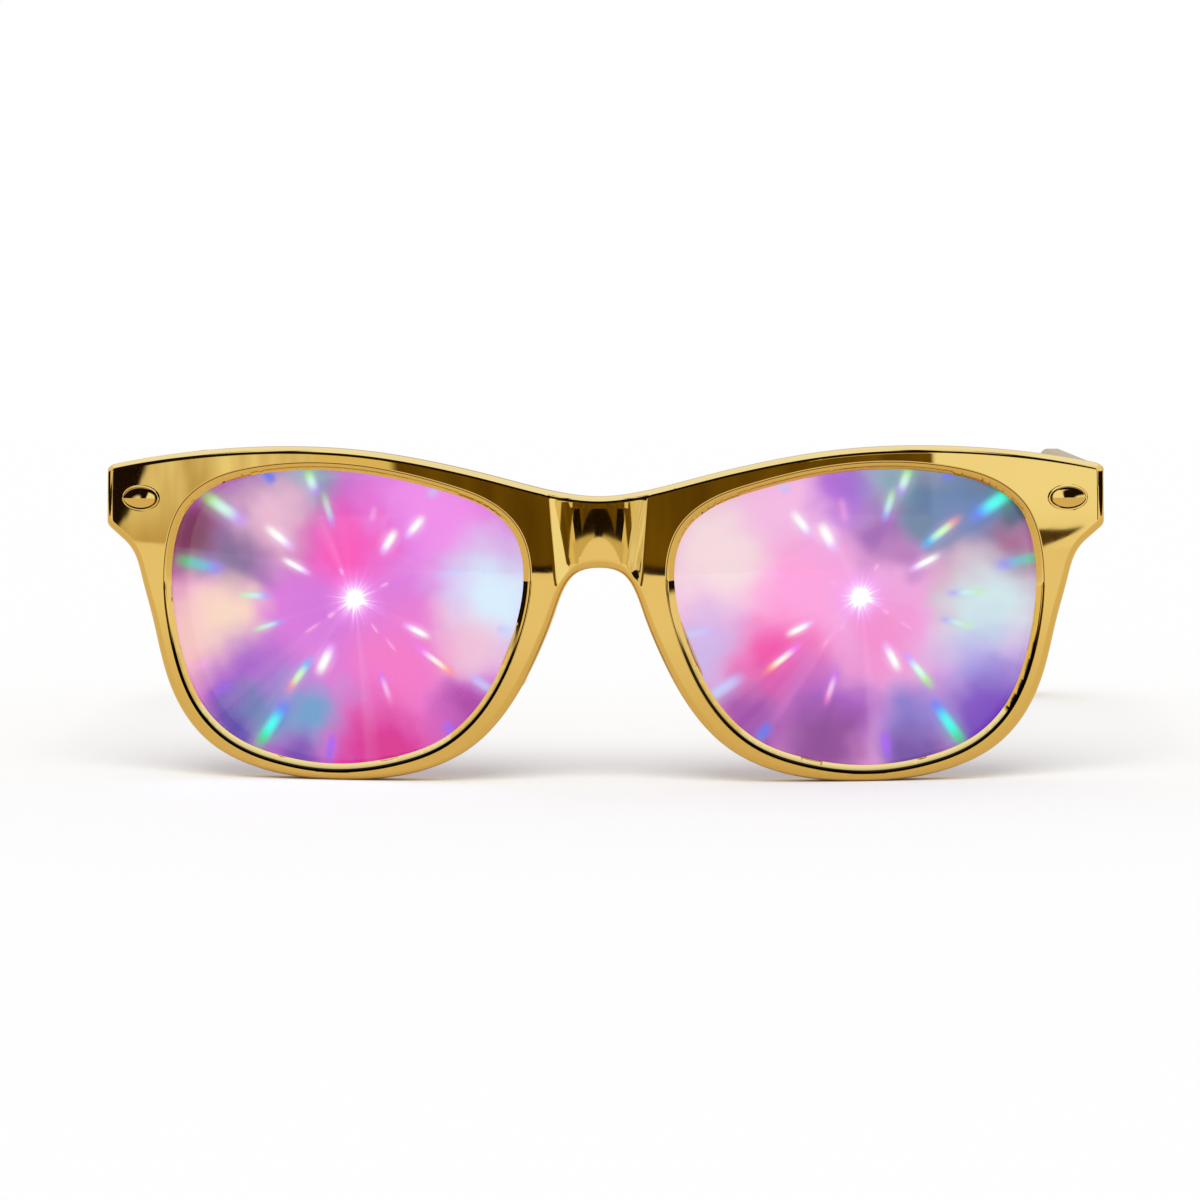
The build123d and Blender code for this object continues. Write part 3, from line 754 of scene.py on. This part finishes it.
# One glint: a soft streak whose tint runs from its outer end, through its middle, to its inner end.
glint = bpy.data.node_groups.new("glint", "ShaderNodeTree")
for name in ("Below", "Outer", "Middle", "Inner"):
    glint.interface.new_socket(name, in_out="INPUT", socket_type="NodeSocketColor")
glint.interface.new_socket("Place", in_out="INPUT", socket_type="NodeSocketVector")
glint.interface.new_socket("Strength", in_out="INPUT", socket_type="NodeSocketFloat")
glint.interface.new_socket("Colour", in_out="OUTPUT", socket_type="NodeSocketColor")
given = glint.nodes.new("NodeGroupInput").outputs
spot = plain_node(glint, "ShaderNodeSeparateXYZ", [(0, given["Place"])]).outputs
along, across = (sums(glint, "ABSOLUTE", spot[axis]) for axis in ("X", "Y"))
body = both(glint, rise(glint, along, 1.2, 0.35), rise(glint, across, 1.25, 0.1))
squeezed = vectors(glint, "MULTIPLY", given["Place"], (0.68, 0.36, 0))
reach = vectors(glint, "LENGTH", squeezed, result="Value")
haze = both(glint, rise(glint, reach, 1.0, 0.1), 0.4)
ends = mixed(glint, rise(glint, spot["X"], -0.9, 0.9), given["Inner"], given["Outer"])
below = mixed(glint, both(glint, haze, given["Strength"]), given["Below"], ends)
tint = mixed(glint, rise(glint, spot["X"], 0.0, -0.8), given["Middle"], given["Inner"])
tint = mixed(glint, rise(glint, spot["X"], 0.05, 0.85), tint, given["Outer"])
share = both(glint, body, given["Strength"])
plain_node(glint, "NodeGroupOutput", [("Colour", mixed(glint, share, below, tint))])


def burst(name, star, ground, wash, glints):
    """Painted glow for the film: a wash of soft colours, glints that point away from a star, and the star.
    """
    material, tree, shader = new_material(name)
    material.cycles.emission_sampling = "NONE"
    spot = coordinates(tree)
    flat = plain_node(tree, "ShaderNodeCombineXYZ", [(0, spot["X"]), (1, spot["Z"])]).outputs[0]
    place = vectors(tree, "MULTIPLY", flat, (1000, 1000, 1000))
    inputs = [("Vector", place), ("Scale", 0.12), ("Detail", 2.0)]
    stir = plain_node(tree, "ShaderNodeTexNoise", inputs).outputs["Color"]
    stirred = vectors(tree, "MULTIPLY_ADD", stir, (STIR, STIR, 0), place)
    moved = vectors(tree, "ADD", stirred, (-STIR / 2, -STIR / 2, 0))
    look = ground
    for x, z, reach, colour in wash:
        gap = vectors(tree, "DISTANCE", moved, (x, z, 0), result="Value")
        look = mixed(tree, rise(tree, gap, reach, reach * 0.12), look, shade(*colour))
    away = vectors(tree, "SUBTRACT", place, (*star, 0))
    reach = vectors(tree, "LENGTH", away, result="Value")
    aim = vectors(tree, "NORMALIZE", away)
    streak = both(tree, rise(tree, noise(tree, 4.0, 3.0, aim), 0.5, 0.8), 0.16)
    look = mixed(tree, streak, look, shade(255, 205, 250))
    for x, z, length, width, strength, (outer, middle, inner) in glints:
        turn = atan2(z - star[1], x - star[0])
        inputs = [("Vector", place), ("Location", (x, z, 0)), ("Rotation", (0, 0, turn)),
                  ("Scale", (length / 2, width / 2, 1))]
        local = plain_node(tree, "ShaderNodeMapping", inputs, vector_type="TEXTURE").outputs[0]
        inputs = [("Below", look), ("Place", local), ("Outer", outer), ("Middle", middle),
                  ("Inner", inner), ("Strength", strength)]
        look = plain_node(tree, "ShaderNodeGroup", inputs, node_tree=glint).outputs[0]
    ray = rise(tree, noise(tree, 6.0, 1.0, aim), 0.42, 0.72)
    near = sums(tree, "SUBTRACT", reach, both(tree, ray, 0.9))
    look = mixed(tree, both(tree, rise(tree, near, 5.0, 0.6), 0.7), look, shade(248, 165, 250))
    look = mixed(tree, both(tree, rise(tree, near, 3.0, 0.5), 0.75), look, shade(255, 225, 255))
    look = mixed(tree, rise(tree, near, 1.7, 0.6), look, (1.15, 1.15, 1.15, 1))
    inputs = [("Saturation", 1.08), ("Value", 0.98), ("Color", look)]
    look = plain_node(tree, "ShaderNodeHueSaturation", inputs).outputs[0]
    # Painted glow: emission carries the picture, the base colour a small share of it; diffuse rays get less.
    tree.links.new(mixed(tree, 0.85, look, (0, 0, 0, 1)), shader.inputs["Base Color"])
    tree.links.new(look, shader.inputs["Emission Color"])
    onto_table = tree.nodes.new("ShaderNodeLightPath").outputs["Is Diffuse Ray"]
    tree.links.new(between(tree, onto_table, 0.95, 0.25), shader.inputs["Emission Strength"])
    shader.inputs["Specular IOR Level"].default_value = 0.1
    shader.inputs["Roughness"].default_value = 0.4
    return material


for name, side, star, ground, wash, glints in (
        ("left", -1, LEFT_STAR, LEFT_GROUND, LEFT_WASH, LEFT_GLINTS),
        ("right", 1, RIGHT_STAR, RIGHT_GROUND, RIGHT_WASH, RIGHT_GLINTS)):
    film = curved_sheet(name + "_burst_film", side, FILM_INSET, FILM_THICKNESS, FILM_EDGE)
    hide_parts(name + "_diffraction_film")
    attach(film, "front")
    film.data.materials.append(burst(name + "_starburst", star, ground, wash, glints))

# Oval rivets
# A domed, gold-plated oval trim rivet sits in each seat: a raised rim, a fine groove, and two
# sloping halves that meet in a level ridge. Two pins behind it are pressed into the front.
# An inset is its width and its rise.
RIVET_SIZE = (3.0, 1.85)
RIVET_RIM = SEAT_DEPTH + 0.1
RIVET_RIDGE = 0.62
RIVET_LIP = 0.28
RIVET_GROOVE = 0.14
RIVET_INSETS = ((0.08, 0.05), (RIVET_LIP - 0.16, 0.0), (0.06, -0.10), (RIVET_GROOVE, -0.04))
RIVET_STEP = (0.04, 0.10)
RIVET_BEND = 1.12
RIVET_SAG = 0.16
PIN_RADIUS = 0.55
PIN_LENGTH = 1.8
PIN_SPACING = 2.8
for name, side in (("left", -1), ("right", 1)):
    bm = bmesh.new()
    crease = bm.verts.layers.float.new("crease")
    bmesh.ops.create_circle(bm, cap_ends=True, segments=96, radius=1)
    bmesh.ops.scale(bm, vec=(RIVET_SIZE[0], RIVET_SIZE[1], 1), verts=bm.verts)
    thicken(bm, (0, 0, RIVET_RIM))
    bmesh.ops.recalc_face_normals(bm, faces=bm.faces)
    top = next(f for f in bm.faces if f.calc_center_median().z > RIVET_RIM - 1e-4)
    for thickness, depth in RIVET_INSETS:
        bmesh.ops.inset_region(bm, faces=[top], thickness=thickness, depth=depth)
    # The floor of the groove is darkened with painted shade.
    for v in top.verts:
        v[crease] = 1
    bmesh.ops.inset_region(bm, faces=[top], thickness=RIVET_STEP[0], depth=RIVET_STEP[1])
    for v in top.verts:
        v[crease] = 0
    inner_height = top.calc_center_median().z
    half_height = max(v.co.y for v in top.verts)
    half_length = max(v.co.x for v in top.verts)
    panel = [top]
    for plane, steps in (((0, 1, 0), np.linspace(-half_height, half_height, 23)[1:-1]),
                         ((1, 0, 0), np.linspace(-half_length, half_length, 17)[1:-1])):
        for step in steps:
            parts = with_edges(panel)
            made = bmesh.ops.bisect_plane(bm, geom=parts, plane_co=Vector(plane) * step, plane_no=plane)
            panel = [g for g in made["geom"] if isinstance(g, bmesh.types.BMFace)]
    for v in {v for f in panel for v in f.verts}:
        slope = max(0.0, 1 - abs(v.co.y) / half_height) ** RIVET_BEND
        v.co.z = inner_height + RIVET_RIDGE * slope * (1 - RIVET_SAG * (v.co.x / half_length) ** 2)
    for pin in (-1, 1):
        made = bmesh.ops.create_cone(bm, cap_ends=True, segments=24, radius1=PIN_RADIUS,
                                     radius2=PIN_RADIUS, depth=PIN_LENGTH)
        bmesh.ops.translate(bm, vec=(pin * PIN_SPACING / 2, 0, -PIN_LENGTH / 2), verts=made["verts"])
    bmesh.ops.translate(bm, vec=(0, 0, -SEAT_DEPTH), verts=bm.verts)
    onto_face(bm, side)
    bmesh.ops.recalc_face_normals(bm, faces=bm.faces)
    rivet = finish_mesh(bm, name + "_domed_rivet", radians(20))
    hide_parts(name + "_oval_rivet")
    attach(rivet, "front")
    rivet.data.materials.append(gold)

# Hinges
# The leaves, screws and small rivets are nickel-plated steel, stamped and turned, and they
# keep the shapes of the solids that the joints turn on.
steel, tree, shader = new_material("plated_steel")
look = mixed(tree, noise(tree, 400, 3), (0.60, 0.58, 0.54, 1), (0.48, 0.46, 0.43, 1))
tree.links.new(look, shader.inputs["Base Color"])
shader.inputs["Metallic"].default_value = 1
tree.links.new(between(tree, noise(tree, 2500, 4), 0.18, 0.34), shader.inputs["Roughness"])
uneven(tree, shader, 0.15, 0.00003, noise(tree, 3000, 2))
for name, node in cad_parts.items():
    if "hinge" in name:
        node.data.materials.clear()
        node.data.materials.append(steel)

# Arms
# Each arm is one gold moulding, thick at the root where the hinge leaf is let in and riveted on,
# thinner behind it, and bent down and a little inwards behind the ear.
ARM_OUTER = 73.6
ARM_ROOT_THICKNESS = 4.6
ARM_THICKNESS = 3.5
ARM_ROOT_HEIGHT = 8.6
ARM_WAIST_HEIGHT = 6.4
ARM_GAP = 0.15
ARM_START = BLOCK_Y + ARM_GAP
ARM_END = -FRONT_Y
ARM_FLAT = ARM_START + 18
ARM_TAPER = ARM_START + 46
ARM_BEND = ARM_START + 88
ARM_EDGE = 1.0
EAR_ANGLE = radians(50)
EAR_BACK_RADIUS = 40.0
EAR_FRONT_RADIUS = 28.0
EAR_TIP = 4.4
EAR_INWARD = 3.4
EAR_INWARD_RADIUS = 120.0
LEAF_POCKET = ((68.0, 69.5), (-53.897, -44.697), (38.725, 44.925))
tip = Vector((ARM_END - EAR_TIP, EAR_TIP))
across_tip = Vector((sin(EAR_ANGLE), cos(EAR_ANGLE))) * EAR_TIP
tip_back, tip_front = tip + across_tip, tip - across_tip
tip_end = tip + Vector((cos(EAR_ANGLE), -sin(EAR_ANGLE))) * EAR_TIP
waist_low = END_TOP - ARM_WAIST_HEIGHT
root_low = END_TOP - ARM_ROOT_HEIGHT
back_corner = Vector((tip_back.x - (END_TOP - tip_back.y) / tan(EAR_ANGLE), END_TOP))
front_corner = Vector((tip_front.x - (waist_low - tip_front.y) / tan(EAR_ANGLE), waist_low))
start_top, start_low = Vector((ARM_START, END_TOP)), Vector((ARM_START, root_low))
tip_arc = [tuple(tip + across_tip * cos(a) + (tip_end - tip) * sin(a)) for a in pi * np.linspace(0, 1, 25)]
bend_back = rounded_corner(start_top, back_corner, tip_back, EAR_BACK_RADIUS, 33)
bend_front = rounded_corner(tip_front, front_corner, start_low, EAR_FRONT_RADIUS, 25)
profile = [tuple(start_top)] + bend_back + tip_arc + bend_front + [tuple(start_low)]
outer_line = [(ARM_OUTER, ARM_START)]
outer_end = (ARM_OUTER - EAR_INWARD, ARM_END + 2)
outer_line += rounded_corner(outer_line[0], (ARM_OUTER, ARM_BEND), outer_end, EAR_INWARD_RADIUS, 13)
outer_line.append(outer_end)
inner_x = ARM_OUTER - ARM_THICKNESS
root_x = ARM_OUTER - ARM_ROOT_THICKNESS
inner_corners = [(root_x, ARM_START), (root_x, ARM_FLAT), (inner_x, ARM_TAPER), (inner_x, ARM_BEND),
                 (inner_x - EAR_INWARD, ARM_END + 2)]
inner_line = inner_corners[:1]
for corners, steps in zip(zip(inner_corners, inner_corners[1:], inner_corners[2:]), (9, 9, 13)):
    inner_line += rounded_corner(*corners, EAR_INWARD_RADIUS, steps)
inner_line.append(inner_corners[-1])


def x_at(line, y):
    """How far out a plan line lies at y."""
    return np.interp(y, [p[1] for p in line], [p[0] for p in line])


def temple(side):
    """One arm: its side view pushed out sideways, brought to its plan view, with rounded edges."""
    bm = bmesh.new()
    bm.faces.new([bm.verts.new((ARM_OUTER, y, z)) for y, z in profile])
    thicken(bm, (-ARM_THICKNESS, 0, 0))
    bmesh.ops.recalc_face_normals(bm, faces=bm.faces)
    slice_across(bm, (0, 1, 0), np.linspace(ARM_START, ARM_END, 90)[1:-1])
    middle = ARM_OUTER - ARM_THICKNESS / 2
    for v in bm.verts:
        v.co.x = x_at(outer_line if v.co.x > middle else inner_line, v.co.y)
    bm.normal_update()
    rounded = []
    for e in bm.edges:
        sides = [abs(f.normal.x) > 0.9 for f in e.link_faces]
        at_root = all(abs(v.co.y - ARM_START) < 1e-4 for v in e.verts)
        if sides.count(True) == 1 and not at_root:
            rounded.append(e)
    bevel(bm, rounded, ARM_EDGE, 8)
    for v in bm.verts:
        v.co.x *= side
    bmesh.ops.recalc_face_normals(bm, faces=bm.faces)
    return bm


for name, side in (("left", -1), ("right", 1)):
    arm = finish_mesh(temple(side), name + "_gold_arm")
    cut(arm, finish_mesh(box(LEAF_POCKET, side), "leaf_pocket"))
    even_shading(arm)
    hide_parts(name + "_temple")
    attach(arm, name + "_arm")
    arm.data.materials.append(gold)

# Studio
# The glasses stand on a table before a white backdrop, under a camera that is fitted to the photo.
# Round them is a dome that only shows as reflections in the gold, with cards laid out on it.
YAW, DISTANCE, CAMERA_Z, PITCH, ROLL, AIM = 2.96, 567.0, 63.83, radians(3.739), radians(-0.160), -0.023
PHOTO_WIDTH = 1200
FOCAL_PIXELS = 3908.3
SENSOR = 36
camera = add("camera", bpy.data.cameras.new("camera"))
bpy.context.scene.camera = camera
yaw, aim = radians(YAW), radians(YAW + AIM)
camera.location = Vector((DISTANCE * sin(yaw), FRONT_Y - DISTANCE * cos(yaw), CAMERA_Z)) * 0.001
look = Vector((-sin(aim) * cos(PITCH), cos(aim) * cos(PITCH), -sin(PITCH)))
turn = look.to_track_quat("-Z", "Y").to_matrix() @ Matrix.Rotation(ROLL, 3, "Z")
camera.rotation_euler = turn.to_euler()
camera.data.sensor_width = SENSOR
camera.data.lens = SENSOR * FOCAL_PIXELS / PHOTO_WIDTH
camera.data.clip_start = 0.01

TABLE_HALF = 1.2
TABLE_FRONT, TABLE_BACK = -0.592, 2.0
bm = bmesh.new()
bmesh.ops.create_grid(bm, x_segments=1, y_segments=1, size=1)
for v in bm.verts:
    v.co = Vector((v.co.x * TABLE_HALF, TABLE_FRONT if v.co.y < 0 else TABLE_BACK, 0))
table = add("table", mesh_of(bm, "table"))
# The camera sees the table white. The gold sees it warmer and darker near the glasses, in painted shade.
WHITE = (1, 1, 1, 1)
paint, tree, shader = new_material("table_white")
seen = tree.nodes.new("ShaderNodeLightPath").outputs["Is Camera Ray"]
painted_shade_share = rise(tree, coordinates(tree)["Y"], -0.40, -0.11)
mirrored = mixed(tree, painted_shade_share, (0.95, 0.97, 1.0, 1), (0.80, 0.75, 0.64, 1))
tree.links.new(mixed(tree, seen, mirrored, WHITE), shader.inputs["Base Color"])
shader.inputs["Roughness"].default_value = 1
shader.inputs["Specular IOR Level"].default_value = 0
table.data.materials.append(paint)

ROOM_RADIUS = 2.5
bm = bmesh.new()
bmesh.ops.create_uvsphere(bm, u_segments=64, v_segments=32, radius=ROOM_RADIUS)
room = add("studio_room", mesh_of(bm, "studio_room"))
room.visible_camera = room.visible_diffuse = room.visible_transmission = room.visible_shadow = False
room_paint = bpy.data.materials.new("studio_cards")
room_paint.use_nodes = True
room_paint.cycles.emission_sampling = "NONE"
tree = room_paint.node_tree
tree.nodes.clear()

# A card's place is its angle to the side, 0 straight ahead and positive to the right, and its
# height, both in degrees as seen from the middle. The scoop mirrors what lies round SCOOP_AHEAD.
SCOOP_AHEAD = -2.9
spot = coordinates(tree)
ahead = sums(tree, "MULTIPLY", spot["Y"], -1)
side_angle = sums(tree, "DEGREES", sums(tree, "ARCTAN2", spot["X"], ahead))
height = sums(tree, "DEGREES", sums(tree, "ARCSINE", sums(tree, "DIVIDE", spot["Z"], ROOM_RADIUS)))
turned = sums(tree, "ABSOLUTE", side_angle)
scoop_angle = sums(tree, "ABSOLUTE", sums(tree, "SUBTRACT", side_angle, SCOOP_AHEAD))
cloud = noise(tree, 9, 2)


def sideways(low, high, soft):
    """1 between two angles to the side."""
    return window(tree, side_angle, low, high, soft)


def upright(low, high, soft):
    """1 between two heights."""
    return window(tree, height, low, high, soft)


def without(share):
    """1 where a share is 0, and the other way round."""
    return sums(tree, "SUBTRACT", 1.0, share)


def either(a, b):
    """1 where one of two shares is."""
    return sums(tree, "MAXIMUM", a, b)


BLACK = (0.012, 0.007, 0.002, 1)
CREAM = (0.98, 1.05, 1.05, 1)
BRIGHT = (1.05, 1.2, 1.5, 1)
dark_room = mixed(tree, between(tree, cloud, -0.5, 1.6), (0.186, 0.127, 0.010, 1), (0.10, 0.062, 0.006, 1))
lit_edge = rise(tree, height, -2.2, -1.1)
left_box = mixed(tree, lit_edge, (0.66, 0.58, 0.38, 1), (0.98, 1.08, 1.2, 1))
left_box = mixed(tree, between(tree, cloud, -0.6, 1.3), left_box, (0.50, 0.42, 0.24, 1))
far_face = either(both(tree, upright(-1.45, -0.25, 0.08), rise(tree, side_angle, -2, 2)),
                  upright(-1.45, -0.9, 0.08))
leaning = sums(tree, "MULTIPLY_ADD", height, -2.2, sums(tree, "ADD", side_angle, -3.3))
leaning = sums(tree, "ADD", leaning, between(tree, cloud, -1.5, 1.5))
beside_gap = without(window(tree, turned, 51, 63, 2))
bowl = sums(tree, "POWER", sums(tree, "DIVIDE", scoop_angle, 18.0), 2.0)
bowl = rise(tree, sums(tree, "MULTIPLY_ADD", bowl, -0.95, height), -2.92, -3.0)
corner = sums(tree, "MULTIPLY_ADD", side_angle, -0.107, sums(tree, "ADD", height, 5.756))
cards = [
    # Ahead stands a pale wall with the dark room before it.
    (rise(tree, turned, 134, 128), (0.95, 1.0, 1.1, 1)),
    (sideways(-26.5, 24.5, 0.6), dark_room),
    # Two gold cards light the scoop's flanks, and two boxes the front's ends.
    (both(tree, without(far_face), window(tree, scoop_angle, 17.5, 33, 1), rise(tree, height, 6, 3)),
     (0.85, 0.82, 0.62, 1)),
    (sideways(-52, -26.8, 0.5), left_box),
    (sideways(25.2, 41, 0.7), mixed(tree, lit_edge, CREAM, BRIGHT)),
    # Beyond the boxes the room is dark, but for a gap on each side and a card low on the left.
    (both(tree, window(tree, leaning, -130, -43.4, 0.6), rise(tree, height, 16, 10),
          between(tree, beside_gap, 0.45, 1)), BLACK),
    (both(tree, sideways(-86, -53, 2), without(upright(-1.95, -0.6, 0.1))), (0.90, 0.85, 0.65, 1)),
    (both(tree, sideways(41, 130, 1), rise(tree, height, 5, 2), beside_gap), BLACK),
    # The scoop mirrors the photographer's dark shape, with the bright table below.
    (either(both(tree, window(tree, scoop_angle, -1, 12, 0.5), rise(tree, height, -2.38, -2.46)),
            both(tree, window(tree, scoop_angle, 12.5, 17.5, 0.5), rise(tree, height, -1.5, -1.56))), BLACK),
    (both(tree, bowl, window(tree, scoop_angle, 4, 19, 2)), (0.70, 0.66, 0.48, 1)),
    # Above, a dark band draws the line along the brow, under a bright ceiling.
    (both(tree, sideways(-62, 45, 4), upright(12, 40, 3)), BLACK),
    (rise(tree, height, 40, 44), (1.05, 1.3, 2.2, 1)),
    # The oval rivets mirror a dark patch high on each side, with a bright card in it.
    (both(tree, either(sideways(-50, -35, 2), sideways(27, 47, 2)), upright(14, 51, 2)), BLACK),
    (both(tree, either(sideways(-46.5, -38, 1), sideways(31.5, 41, 1)), upright(38, 50, 1)), BRIGHT),
    # Beside the right rivet something dark shows as a small triangle.
    (both(tree, rise(tree, corner, 0, 0.03), rise(tree, height, -1.70, -1.74), sideways(33.2, 39, 0.3)),
     (0.07, 0.045, 0.012, 1)),
]
# Behind the glasses stands the white backdrop, over a darker far edge of the table.
look = mixed(tree, upright(2, 16, 4), WHITE, (0.56, 0.51, 0.40, 1))
for share, colour in cards:
    look = mixed(tree, share, look, colour)
glow = plain_node(tree, "ShaderNodeEmission", [("Color", look), ("Strength", 1.0)])
plain_node(tree, "ShaderNodeOutputMaterial", [("Surface", glow.outputs[0])])
room.data.materials.append(room_paint)

# The table gets less of the sky's light than the camera sees, so that the lamp's shadow shows.
SKY_ON_TABLE = (0.66, 0.66, 0.66, 1)
world = bpy.data.worlds.new("studio")
bpy.context.scene.world = world
world.use_nodes = True
bpy.context.scene.view_settings.view_transform = "Standard"
tree = world.node_tree
onto_table = tree.nodes.new("ShaderNodeLightPath").outputs["Is Diffuse Ray"]
tree.links.new(mixed(tree, onto_table, WHITE, SKY_ON_TABLE), tree.nodes["Background"].inputs["Color"])
tree.nodes["Background"].inputs["Strength"].default_value = 1

# A broad soft light stands high in front, so that the shadow falls behind the rims.
LAMP_TILT = radians(56)
LAMP_STRENGTH = 1.27
LAMP_SPREAD = radians(45)
lamp = add("front_light", bpy.data.lights.new("front_light", "SUN"))
lamp.rotation_euler = Vector((0, cos(LAMP_TILT), -sin(LAMP_TILT))).to_track_quat("-Z", "Y").to_euler()
lamp.data.energy = LAMP_STRENGTH
lamp.data.angle = LAMP_SPREAD
lamp.visible_glossy = False
